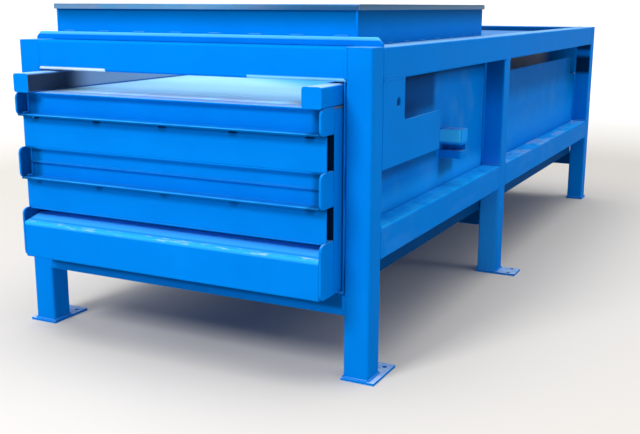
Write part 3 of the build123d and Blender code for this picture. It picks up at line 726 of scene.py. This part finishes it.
def ring_piece(name: str, grids: list[Array], lid: bool = True) -> bpy.types.Object:
    """Make one mesh of surfaces that close round, each given as rings by sides by 3 points.

    Args:
        name: Name of the new object.
        grids: One array for each surface. Its first ring gets a flat cap.
        lid: Whether the last ring gets a cap too.

    Returns:
        The new object, at the origin.
    """
    points, quads, caps, offset = [], [], [], 0
    for grid in grids:
        rings, sides = grid.shape[:2]
        number = offset + np.arange(rings * sides).reshape(rings, sides)
        following = np.roll(number, -1, axis=1)
        quads.append(np.stack([number[:-1], following[:-1], following[1:], number[1:]], -1).reshape(-1, 4))
        caps += [number[0, ::-1].tolist()] + ([number[-1].tolist()] if lid else [])
        points.append(grid.reshape(-1, 3))
        offset += rings * sides
    mesh = bpy.data.meshes.new(name)
    mesh.from_pydata(np.concatenate(points).tolist(), [], np.concatenate(quads).tolist() + caps)
    mesh.polygons.foreach_set("use_smooth", np.ones(len(mesh.polygons), dtype=bool))
    mesh.update()
    piece = bpy.data.objects.new(name, mesh)
    bpy.context.scene.collection.objects.link(piece)
    return piece


def settle(piece: bpy.types.Object, body: Body, finish: Finish, slot: Slot) -> None:
    """Give a new piece its finish and the body it rides on.

    Args:
        piece: The new piece.
        body: Body that carries it.
        finish: Its surface finish.
        slot: Material slot of the record that it belongs to; not used.
    """
    piece.data.materials.append(finish.material())
    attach(piece, body.value)
    LOG.info("%s: %d faces, %s", piece.name, len(piece.data.polygons), finish.name)


@dataclass(frozen=True)
class WeldSet:
    """All weld beads of one sub-assembly, as one mesh."""

    name: str
    body: Body
    beads: Iterable[Bead]
    sides: int = 10
    fewest_rings: int = 8
    step_mm: float = 2.3
    ripple_mm: float = 7.0
    lag: float = 0.45
    crown_low: float = 0.75
    crown_ripple: float = 0.4
    edge_ripple: float = 0.06
    least_swell: float = 1e-4

    def grid(self, bead: Bead) -> Array:
        """Work out one bead's surface.

        A point is the seam's point at s, plus half_width times cos(t) across, plus sin(t) times crown
        (above) or root (below) outwards. The crown is scaled by a low value plus a scalloped ripple, the
        absolute sine of s over the ripple's pitch, whose phase lags at the bead's edges so that each
        ripple is a crescent. The edges follow the ripple a little. The section shrinks to nothing over
        the last few millimetres, as a half ellipse, so that each end is round.

        Args:
            bead: The run of weld.

        Returns:
            An array of rings by sides by 3.
        """
        length = float(np.linalg.norm(bead.end - bead.start))
        rings = max(self.fewest_rings, int(length / (self.step_mm * MM)) + 1)
        s = np.linspace(0.0, length, rings)[:, None]
        t = np.linspace(0.0, 2 * math.pi, self.sides, endpoint=False)[None, :]
        ripple = np.abs(np.sin(math.pi * (s / (self.ripple_mm * MM) + self.lag * np.cos(t) ** 2)))
        ends = np.clip(np.minimum(s, length - s) / bead.half_width, 0.0, 1.0)
        swell = np.sqrt(np.clip(1 - (1 - ends) ** 2, self.least_swell, 1.0))
        crown = bead.crown * (self.crown_low + self.crown_ripple * ripple)
        height = swell * np.where(np.sin(t) > 0, crown, bead.root) * np.sin(t)
        width = swell * bead.half_width * np.cos(t) * (1 - self.edge_ripple + self.edge_ripple * ripple)
        seam = bead.start + s[..., None] * (bead.end - bead.start) / length
        return seam + width[..., None] * bead.across + height[..., None] * bead.out

    def build(self) -> None:
        """Make the mesh of all beads, dress it and let it ride on its body."""
        piece = ring_piece(self.name, [self.grid(bead) for bead in self.beads])
        settle(piece, self.body, AZURE, Slot.BLUE)


@dataclass(frozen=True)
class EdgeRounding:
    """Rounded edges, as a grinder and thick paint leave them."""

    width_mm: float = 2.5
    join_mm: float = 0.01
    flat_deg: float = 1.0
    edge_deg: float = 35.0
    segments: int = 2

    def apply(self, piece: bpy.types.Object) -> None:
        """Round a piece's edges.

        The faces are joined and flats made whole first, so that the rounding runs along real edges only.

        Args:
            piece: The piece.
        """
        modifiers = piece.modifiers
        modifiers.new("join", "WELD").merge_threshold = self.join_mm * MM
        flats = modifiers.new("flats", "DECIMATE")
        flats.decimate_type = "DISSOLVE"
        flats.angle_limit = math.radians(self.flat_deg)
        edges = modifiers.new("edges", "BEVEL")
        edges.width = self.width_mm * MM
        edges.segments = self.segments
        edges.limit_method = "ANGLE"
        edges.angle_limit = math.radians(self.edge_deg)
        modifiers.new("normals", "WEIGHTED_NORMAL").keep_sharp = False


def paint(finishes: dict[Finish, Iterable[str]], edges: EdgeRounding | None = None) -> None:
    """Give nodes of the frame their finishes and, where they have them, rounded edges.

    Args:
        finishes: Names of the nodes that each finish goes on.
        edges: How their edges are rounded.
    """
    for finish, nodes in finishes.items():
        for node in nodes:
            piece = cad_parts[node]
            for slot in piece.material_slots:
                slot.material = finish.material()
            if edges is not None:
                edges.apply(piece)
            LOG.info("%s: %s", node, finish.name)


class SubAssembly(ABC):
    """A group of nodes that are dressed together and carry new pieces of their own."""

    @abstractmethod
    def dress(self) -> None:
        """Give the group's nodes their finishes and rounded edges."""

    @abstractmethod
    def build(self) -> None:
        """Make the group's new pieces."""


@dataclass
class TubeFrame(SubAssembly):
    """Legs, rails, beams and feet, with the beads at their joints."""

    foot_leg_mm: float = 7.0
    rail_leg_mm: float = 8.0
    seam: ButtSize = ButtSize(8.0, 1.8, 10.0, clear_mm=7.2)
    edges: EdgeRounding = EdgeRounding()

    def foot_beads(self) -> Iterator[Bead]:
        """Lay beads round the bottom of each leg, on its foot plate.

        Returns:
            The beads.
        """
        outs = (-AXIS_Y, AXIS_X, AXIS_Y, -AXIS_X)
        for row in ROWS:
            for leg in map(NodeBox.of, both(f"{row}_post")):
                round_leg = ((leg.x0, leg.y0), (leg.x1, leg.y0), (leg.x1, leg.y1), (leg.x0, leg.y1))
                corners = [at(x, y, leg.z0) for x, y in round_leg]
                for start, end, out in zip(corners, corners[1:] + corners[:1], outs):
                    yield Bead.fillet(start, end, out, AXIS_Z, self.foot_leg_mm)

    def rail_beads(self) -> Iterator[Bead]:
        """Lay beads where the side rails meet the legs.

        Returns:
            The beads.
        """
        for side, sign in SIDES:
            front, mid, rear = (NodeBox.of(f"{row}_post_{side}") for row in ROWS)
            outer, inner, out = front.outer(sign), front.inner(sign), sign * AXIS_X
            joints = {"top_rail": (front.y1, rear.y0), "front_bottom_rail": (front.y1, mid.y0),
                      "rear_bottom_rail": (mid.y1, rear.y0)}
            for rail, ends in joints.items():
                box = NodeBox.of(f"{rail}_{side}")
                for y, away in zip(ends, (AXIS_Y, -AXIS_Y)):
                    top = at(inner, y, box.z1), at(outer, y, box.z1)
                    yield Bead.butt(at(outer, y, box.z0), top[1], out, self.seam)
                    if rail == "top_rail":
                        yield Bead.butt(*top, AXIS_Z, self.seam)
                    else:
                        yield Bead.fillet(*top, away, AXIS_Z, self.rail_leg_mm)
            yield Bead.butt(at(outer, mid.y0, mid.z1), at(outer, mid.y1, mid.z1), out, self.seam)

    def beam_beads(self) -> Iterator[Bead]:
        """Lay beads where the lintel and the cross beams meet the legs.

        Returns:
            The beads.
        """
        beams = ("front_lintel", "front_cross_beam", "rear_top_beam", "rear_thrust_beam", "rear_cross_beam")
        for beam in beams:
            box = NodeBox.of(beam)
            y, out = (box.y0, -AXIS_Y) if beam.startswith("front") else (box.y1, AXIS_Y)
            for x in (box.x0, box.x1):
                yield Bead.butt(at(x, y, box.z0), at(x, y, box.z1), out, self.seam)
                if beam in ("front_lintel", "rear_top_beam"):
                    yield Bead.butt(at(x, box.y0, box.z1), at(x, box.y1, box.z1), AXIS_Z, self.seam)

    def dress(self) -> None:
        """Paint the tubes and feet and round their edges."""
        paint({
            AZURE: [*both("front_post"), "mid_top_beam", "rear_thrust_beam"],
            AZURE_MID_POST: both("mid_post"),
            AZURE_REAR_POST: both("rear_post"),
            AZURE_TOP_RAIL: both("top_rail"),
            AZURE_RAIL: both("front_bottom_rail") + both("rear_bottom_rail"),
            AZURE_LINTEL: ["front_lintel"],
            AZURE_FRONT_BEAM: ["front_cross_beam"],
            AZURE_UNDER_BEAM: ["mid_cross_beam", "rear_cross_beam"],
            AZURE_REAR_BEAM: ["rear_top_beam"],
            AZURE_FOOT: [f"{row}_foot_plates" for row in ROWS],
        }, self.edges)

    def build(self) -> None:
        """Lay the frame's beads."""
        beads = [*self.foot_beads(), *self.rail_beads(), *self.beam_beads()]
        WeldSet("frame_welds", Body.FRAME, beads).build()


@dataclass
class Chamber(SubAssembly):
    """Walls, floor and guides of the pressing chamber, with the plates and forks on its sides."""

    fork_leg_mm: float = 8.0
    wall_leg_mm: float = 11.0
    upright_mm: float = 240.0
    gap_mm: float = 95.0
    notch_mm: float = 140.0
    plate_seam: ButtSize = ButtSize(6.0, 1.5, 8.0)
    apron_seam: ButtSize = ButtSize(9.0, 1.5, 14.0)
    edges: EdgeRounding = EdgeRounding()

    def side_beads(self, side: str, sign: float) -> Iterator[Bead]:
        """Lay the beads of one side of the chamber.

        They run round the tie fork, where the side plate meets the front leg and the top rail, up the
        wall's joints with the legs above the bottom rails, and where the rear apron meets the rear leg,
        from the hose notch up to the rail.

        Args:
            side: Side of the machine.
            sign: Plus one on the right, minus one on the left.

        Returns:
            The beads.
        """
        out = sign * AXIS_X
        fork, plate = NodeBox.of(f"tie_bracket_{side}"), NodeBox.of(f"side_plate_{side}")
        front, mid, rear = (NodeBox.of(f"{row}_post_{side}") for row in ROWS)
        gap, notch = mid.z1 - self.gap_mm * MM, mid.z1 - (self.gap_mm + self.notch_mm) * MM

        x = fork.inner(sign)
        (low_front, high_front), (low_rear, high_rear) = (
            (at(x, y, fork.z0), at(x, y, fork.z1)) for y in (fork.y0, fork.y1))
        yield Bead.fillet(low_rear, high_rear, AXIS_Y, out, self.fork_leg_mm)
        yield Bead.fillet(high_front, high_rear, AXIS_Z, out, self.fork_leg_mm)
        yield Bead.fillet(low_front, low_rear, -AXIS_Z, out, self.fork_leg_mm)

        x = plate.outer(sign)
        corner = at(x, plate.y0, plate.z1)
        yield Bead.butt(at(x, plate.y0, plate.z0), corner, out, self.plate_seam)
        yield Bead.butt(corner, corner + AXIS_Y * self.upright_mm * MM, out, self.plate_seam)

        x, foot = mid.inner(sign), NodeBox.of(f"front_bottom_rail_{side}").z1
        joints = ((front.y1, AXIS_Y, plate.z0), (mid.y0, -AXIS_Y, mid.z1), (mid.y1, AXIS_Y, gap),
                  (rear.y0, -AXIS_Y, notch))
        for y, away, top in joints:
            yield Bead.fillet(at(x, y, foot), at(x, y, top), away, out, self.wall_leg_mm)

        x, y = rear.inner(sign), rear.y0 - self.apron_seam.half_width_mm * MM / 2
        yield Bead.butt(at(x, y, notch), at(x, y, mid.z1), -AXIS_Y, self.apron_seam)

    def dress(self) -> None:
        """Paint the walls, plates and forks, bare the guides and round their edges."""
        paint({
            **{wall_finish(side, sign): [f"chamber_wall_{side}"] for side, sign in SIDES},
            CHAMBER_FLOOR: ["chamber_floor"],
            AZURE: both("side_plate"),
            AZURE_FORK: both("tie_bracket"),
            GUIDE_STEEL: ["floor_wear_strips", *both("hold_down_bar")],
        }, self.edges)

    def build(self) -> None:
        """Lay the chamber's beads."""
        beads = [bead for side, sign in SIDES for bead in self.side_beads(side, sign)]
        WeldSet("side_welds", Body.FRAME, beads).build()


@dataclass
class Hopper(SubAssembly):
    """Collar over the front bay, its rim, the sill and the rear deck cover."""

    leg_mm: float = 7.0
    stitch_mm: float = 70.0
    pitch_mm: float = 210.0
    corner_seam: ButtSize = ButtSize(5.0, 1.5, 5.0)
    edges: EdgeRounding = EdgeRounding(3.0)

    def beads(self) -> Iterator[Bead]:
        """Lay stitches along the collar's foot and full beads up its corners.

        Returns:
            The beads.
        """
        wall, foot = NodeBox.of("hopper_front_wall"), NodeBox.of("hopper_sill").z1
        y = wall.y0
        run = Bead.fillet(at(wall.x0, y, foot), at(wall.x1, y, foot), -AXIS_Y, AXIS_Z, self.leg_mm)
        yield from run.stitches(self.stitch_mm, self.pitch_mm)
        for side, sign in SIDES:
            box = NodeBox.of(f"hopper_wall_{side}")
            x, top = box.outer(sign), NodeBox.of(f"chamber_wall_{side}").z1
            run = Bead.fillet(at(x, box.y0, top), at(x, box.y1, top), sign * AXIS_X, AXIS_Z, self.leg_mm)
            yield from run.stitches(self.stitch_mm, self.pitch_mm)
            x = wall.outer(sign)
            yield Bead.butt(at(x, y, foot), at(x, y, wall.z1), -AXIS_Y, self.corner_seam)

    def dress(self) -> None:
        """Paint the collar, the sill and the cover, bare the rim and round what is thick."""
        paint({AZURE_HOPPER: [*both("hopper_wall"), "hopper_front_wall", "hopper_rear_wall"]})
        paint({AZURE_SILL: ["hopper_sill"], AZURE_COVER: ["rear_deck_cover"], RIM_STEEL: ["hopper_rim"]},
              self.edges)

    def build(self) -> None:
        """Lay the collar's beads."""
        WeldSet("hopper_welds", Body.FRAME, self.beads()).build()


@dataclass
class Ram(SubAssembly):
    """The ram: its face of channels, slats and skirt, its box and its guide tubes."""

    leg_mm: float = 7.0
    wall_mm: float = 8.0
    lip_mm: float = 32.0
    web_setback_mm: float = 75.0
    top_seam: ButtSize = ButtSize(5.6, 1.05, 7.0)
    edges: EdgeRounding = EdgeRounding()

    def face_beads(self) -> Iterator[Bead]:
        """Lay beads where the channels end at the lugs, and along the top plate's front edge.

        Returns:
            The beads.
        """
        for channel in ("ram_upper_channel", "ram_middle_channel"):
            box = NodeBox.of(channel)
            web, lip = box.y0 + self.web_setback_mm * MM, box.y0 + self.lip_mm * MM
            low, high = box.z0 + self.wall_mm * MM, box.z1 - self.wall_mm * MM
            for x, away in ((box.x0, AXIS_X), (box.x1, -AXIS_X)):
                yield Bead.fillet(at(x, web, low), at(x, web, high), away, -AXIS_Y, self.leg_mm)
                yield Bead.fillet(at(x, lip, low), at(x, web, low), away, AXIS_Z, self.leg_mm)
        top, inner = NodeBox.of("ram_top_plate"), NodeBox.of("ram_guide_tube_right").x0
        yield Bead.butt(at(-inner, top.y0, top.z1), at(inner, top.y0, top.z1), AXIS_Z, self.top_seam)

    def dress(self) -> None:
        """Paint the ram and round its edges, and bare its pin."""
        paint({
            AZURE: ["ram_bottom_plate", "ram_clevis", "ram_lower_flange", *both("ram_side_plate")],
            AZURE_CHANNEL: ["ram_upper_channel", "ram_middle_channel"],
            AZURE_FRONT_PLATE: ["ram_front_plate"],
            AZURE_LUG: ["ram_end_lugs"],
            AZURE_UPPER_SLAT: ["ram_upper_slat"],
            AZURE_LOWER_SLAT: ["ram_lower_slat"],
            AZURE_SKIRT: ["ram_skirt"],
            AZURE_GUIDE: both("ram_guide_tube"),
            RAM_TOP: ["ram_top_plate"],
        }, self.edges)
        paint({PIN_STEEL: ["ram_clevis_pin"]})

    def build(self) -> None:
        """Lay the ram's beads."""
        WeldSet("ram_welds", Body.RAM, self.face_beads()).build()


@dataclass
class Cylinder(SubAssembly):
    """Hydraulic cylinder with hexagon plugs on its two ports."""

    front_port_mm: float = 70.0
    rear_port_mm: float = 244.0
    plug_across_flats_mm: float = 32.0
    plug_rings_mm: tuple[float, ...] = (0.0, 9.2, 11.0, 12.5, 14.0)
    cone_top: float = 0.93
    cone_slope: float = 1.7
    angles: int = 72

    def plug(self, centre: Array) -> Array:
        """Work out a hexagon plug's surface.

        The radius at angle t is half the width across flats over the cosine of t's distance from the
        nearest flat's middle. Towards the top a cone cuts the corners: there the radius is at most a
        share of the half width across flats plus the height left below the top times a slope.

        Args:
            centre: Middle of the plug's underside.

        Returns:
            An array of rings by angles by 3.
        """
        half = self.plug_across_flats_mm * MM / 2
        rise = np.array(self.plug_rings_mm)[:, None] * MM
        t = np.linspace(0.0, 2 * math.pi, self.angles, endpoint=False)[None, :]
        sector = math.pi / 3
        hexagon = half / np.cos(np.mod(t, sector) - sector / 2)
        cone = self.cone_top * half + self.cone_slope * (rise[-1] - rise)
        radius = np.minimum(hexagon, cone)
        return centre + np.stack([radius * np.cos(t), radius * np.sin(t), rise + 0 * t], -1)

    def dress(self) -> None:
        """Paint the barrel and the rear clevis, and bare the rod and the pin."""
        paint({DARK_ENAMEL: ["cylinder_barrel", "cylinder_gland"], CHROME_ROD: ["piston_rod"],
               AZURE: ["rear_clevis"], PIN_STEEL: ["rear_clevis_pin"]})

    def build(self) -> None:
        """Fit the ports' plugs."""
        barrel = NodeBox.of("cylinder_barrel")
        x = (barrel.x0 + barrel.x1) / 2
        places = (barrel.y0 + self.front_port_mm * MM, barrel.y1 - self.rear_port_mm * MM)
        plugs = ring_piece("port_plugs", [self.plug(at(x, y, barrel.z1)) for y in places])
        settle(plugs, Body.FRAME, PIN_STEEL, Slot.STEEL)


@dataclass(frozen=True)
class Lamp:
    """One square soft light: its middle, the point it faces, the length of its side and its power."""

    name: str
    place: Triple
    aim: Triple
    side_m: float
    power_w: float

    def hang(self) -> None:
        """Add the light to the scene."""
        data = bpy.data.lights.new(self.name, "AREA")
        data.size = self.side_m
        data.energy = self.power_w
        light = bpy.data.objects.new(self.name, data)
        bpy.context.scene.collection.objects.link(light)
        light.visible_camera = False
        light.location = self.place
        light.rotation_euler = (Vector(self.aim) - Vector(self.place)).to_track_quat("-Z", "Y").to_euler()


@dataclass
class Studio:
    """Pale floor, soft lights and the camera at the photograph's place."""

    centre_radius_m: float = 0.01
    flat_radius_m: float = 11.0
    outer_radius_m: float = 22.0
    rise_m: float = 5.0
    floor_rings: int = 24
    floor_angles: int = 96
    sky_colour: str = "#ffffff"
    sky_strength: float = 4.2
    sky_power: float = 5.0
    lamps: tuple[Lamp, ...] = (
        Lamp("front_key", (-1.4, -9.0, 6.6), (0.0, -2.0, 0.8), 2.5, 640.0),
        Lamp("right_fill", (7.0, 0.3, 4.4), (0.9, 0.3, 0.8), 2.6, 75.0),
        Lamp("left_fill", (-7.0, 0.3, 4.4), (-0.9, 0.3, 0.8), 2.6, 75.0),
    )
    eye: Triple = (2.4486, -5.678, 1.6)
    azimuth_deg: float = 26.677
    pitch_deg: float = 12.775
    roll_deg: float = 0.19
    focal_px: float = 932.77
    image_width_px: float = 640.0
    sensor_mm: float = 36.0
    clip_end_m: float = 200.0

    def floor(self) -> None:
        """Lay the floor: flat round the machine, then rising to a backdrop.

        The point at radius r and angle t lies at height rise times the square of the share of the way
        from the flat part's edge to the outer edge, and at zero inside the flat part. The angle runs
        clockwise, so that the faces look up.
        """
        rising = np.linspace(self.flat_radius_m, self.outer_radius_m, self.floor_rings)
        radius = np.concatenate([[self.centre_radius_m], rising])[:, None]
        t = np.linspace(2 * math.pi, 0.0, self.floor_angles, endpoint=False)[None, :]
        share = np.clip((radius - self.flat_radius_m) / (self.outer_radius_m - self.flat_radius_m), 0.0, 1.0)
        points = np.stack([radius * np.cos(t), radius * np.sin(t), self.rise_m * share ** 2 + 0 * t], -1)
        floor = ring_piece("studio_floor", [points], lid=False)
        floor.data.materials.append(FloorFinish("pale_floor").material())

    def sky(self) -> None:
        """Light the place from a sky whose brightness is a power of the height looked up to."""
        world = bpy.data.worlds.new("studio_sky")
        world.use_nodes = True
        tree = world.node_tree
        tree.nodes.clear()
        way = add_node(tree, "TexCoord").outputs["Generated"]
        height = add_node(tree, "SeparateXYZ", links={"Vector": way}).outputs["Z"]
        steps = {"MAXIMUM": 0.0, "POWER": self.sky_power, "MULTIPLY": self.sky_strength}
        for operation, number in steps.items():
            height = add_node(tree, "Math", {"operation": operation, 1: number}, {0: height})
        sky = add_node(tree, "Background", {"Color": linear(self.sky_colour)}, {"Strength": height})
        add_node(tree, "OutputWorld", links={"Surface": sky})
        bpy.context.scene.world = world

    def camera(self) -> None:
        """Place the camera: its axes follow from the azimuth, the pitch and the roll."""
        azimuth, pitch, roll = map(math.radians, (self.azimuth_deg, self.pitch_deg, self.roll_deg))
        ahead = Vector((-math.sin(azimuth) * math.cos(pitch), math.cos(azimuth) * math.cos(pitch),
                        -math.sin(pitch)))
        level = Vector((math.cos(azimuth), math.sin(azimuth), 0.0))
        up = level.cross(ahead)
        right = math.cos(roll) * level + math.sin(roll) * up
        above = -math.sin(roll) * level + math.cos(roll) * up
        data = bpy.data.cameras.new("photo_camera")
        data.sensor_width = self.sensor_mm
        data.lens = self.focal_px / self.image_width_px * self.sensor_mm
        data.clip_end = self.clip_end_m
        camera = bpy.data.objects.new("photo_camera", data)
        bpy.context.scene.collection.objects.link(camera)
        axes = Matrix((right, above, -ahead)).transposed().to_4x4()
        camera.matrix_world = Matrix.Translation(self.eye) @ axes
        bpy.context.scene.camera = camera

    def build(self) -> None:
        """Set up the floor, the sky, the lights and the camera."""
        self.floor()
        self.sky()
        for lamp in self.lamps:
            lamp.hang()
        view = bpy.context.scene.view_settings
        view.view_transform = "Standard"
        view.look = "None"
        self.camera()


def main() -> None:
    """Dress and build every sub-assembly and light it."""
    logging.basicConfig(level=logging.INFO, format="%(name)s: %(message)s")
    for part in (TubeFrame(), Chamber(), Hopper(), Ram(), Cylinder()):
        part.dress()
        part.build()
        LOG.info("built %s", type(part).__name__)
    Studio().build()


if __name__ == "__main__":
    main()
